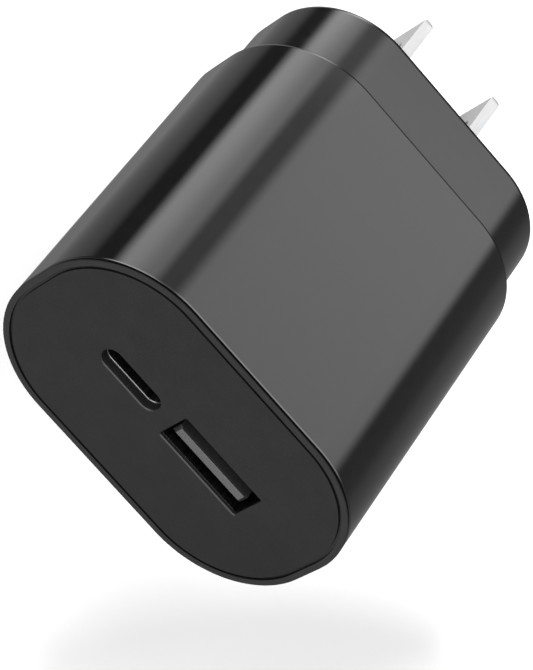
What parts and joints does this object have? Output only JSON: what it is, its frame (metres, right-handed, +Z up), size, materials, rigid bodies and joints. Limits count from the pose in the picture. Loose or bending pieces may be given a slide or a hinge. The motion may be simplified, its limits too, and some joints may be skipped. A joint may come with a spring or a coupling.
{
  "type": "usb wall charger",
  "caption": "Rounded oblong wall charger with a recessed USB-C and USB-A port panel, a slimmer rear housing and fixed flat mains blades.",
  "frame": {"origin": "centre of the wall face, midway between the blades", "axes": "+Y out of the wall face along the blades, +Z up out of one broad face, +X along the long side towards the USB-A end"},
  "size_m": [0.0446, 0.0724, 0.029],
  "materials": {
    "case_gloss": "gloss",
    "bezel_satin": "satin",
    "panel_matte": "fine matte texture",
    "blade_nickel": "polished nickel plate",
    "receptacle_steel": "bright",
    "tongue_black": "satin",
    "tongue_grey": "satin",
    "contact_gold": "bright",
    "contact_bronze": "satin",
    "carrier_ivory": "satin",
    "board_green": "solder mask",
    "fuse_sleeve": "gloss",
    "chip_black": "matte",
    "chip_ivory": "matte",
    "ferrite": "ground",
    "copper_winding": "enamelled",
    "litz_winding": "enamelled",
    "tape_yellow": "gloss",
    "can_sleeve": "gloss",
    "can_aluminium": "bright",
    "seal_rubber": "matte",
    "ceramic_blue": "satin",
    "chip_tan": "matte",
    "pad_grey": "matte",
    "spreader_aluminium": "satin",
    "sheet_cream": "satin"
  },
  "bodies": {
    "root": {"main_shell": "case_gloss", "rear_housing": "case_gloss", "bezel_ring": "bezel_satin", "port_panel": "panel_matte", "blade_left": "blade_nickel", "blade_right": "blade_nickel", "blade_carrier": "carrier_ivory", "line_contact": "contact_bronze", "neutral_contact": "contact_bronze", "main_board": "board_green", "port_board": "board_green", "usb_c_shell": "receptacle_steel", "usb_c_tongue": "tongue_black", "usb_c_contacts": "contact_gold", "usb_a_shell": "receptacle_steel", "usb_a_tongue": "tongue_grey", "usb_a_contacts": "contact_gold", "fuse": "fuse_sleeve", "bridge_rectifier": "chip_black", "filter_choke_core": "ferrite", "filter_choke_winding": "copper_winding", "input_capacitor_left": "can_sleeve", "input_capacitor_right": "can_sleeve", "capacitor_seals": "seal_rubber", "primary_controller": "chip_black", "transformer_core_front": "ferrite", "transformer_core_rear": "ferrite", "transformer_bobbin": "chip_black", "primary_winding": "copper_winding", "secondary_winding": "litz_winding", "transformer_tape": "tape_yellow", "y_capacitor": "ceramic_blue", "optocoupler": "chip_ivory", "sync_rectifier": "chip_black", "output_capacitors": "can_aluminium", "pd_controller": "chip_black", "chip_parts": "chip_tan", "thermal_pad": "pad_grey", "heat_spreader": "spreader_aluminium", "insulation_sheet": "sheet_cream"}
  },
  "joints": []
}
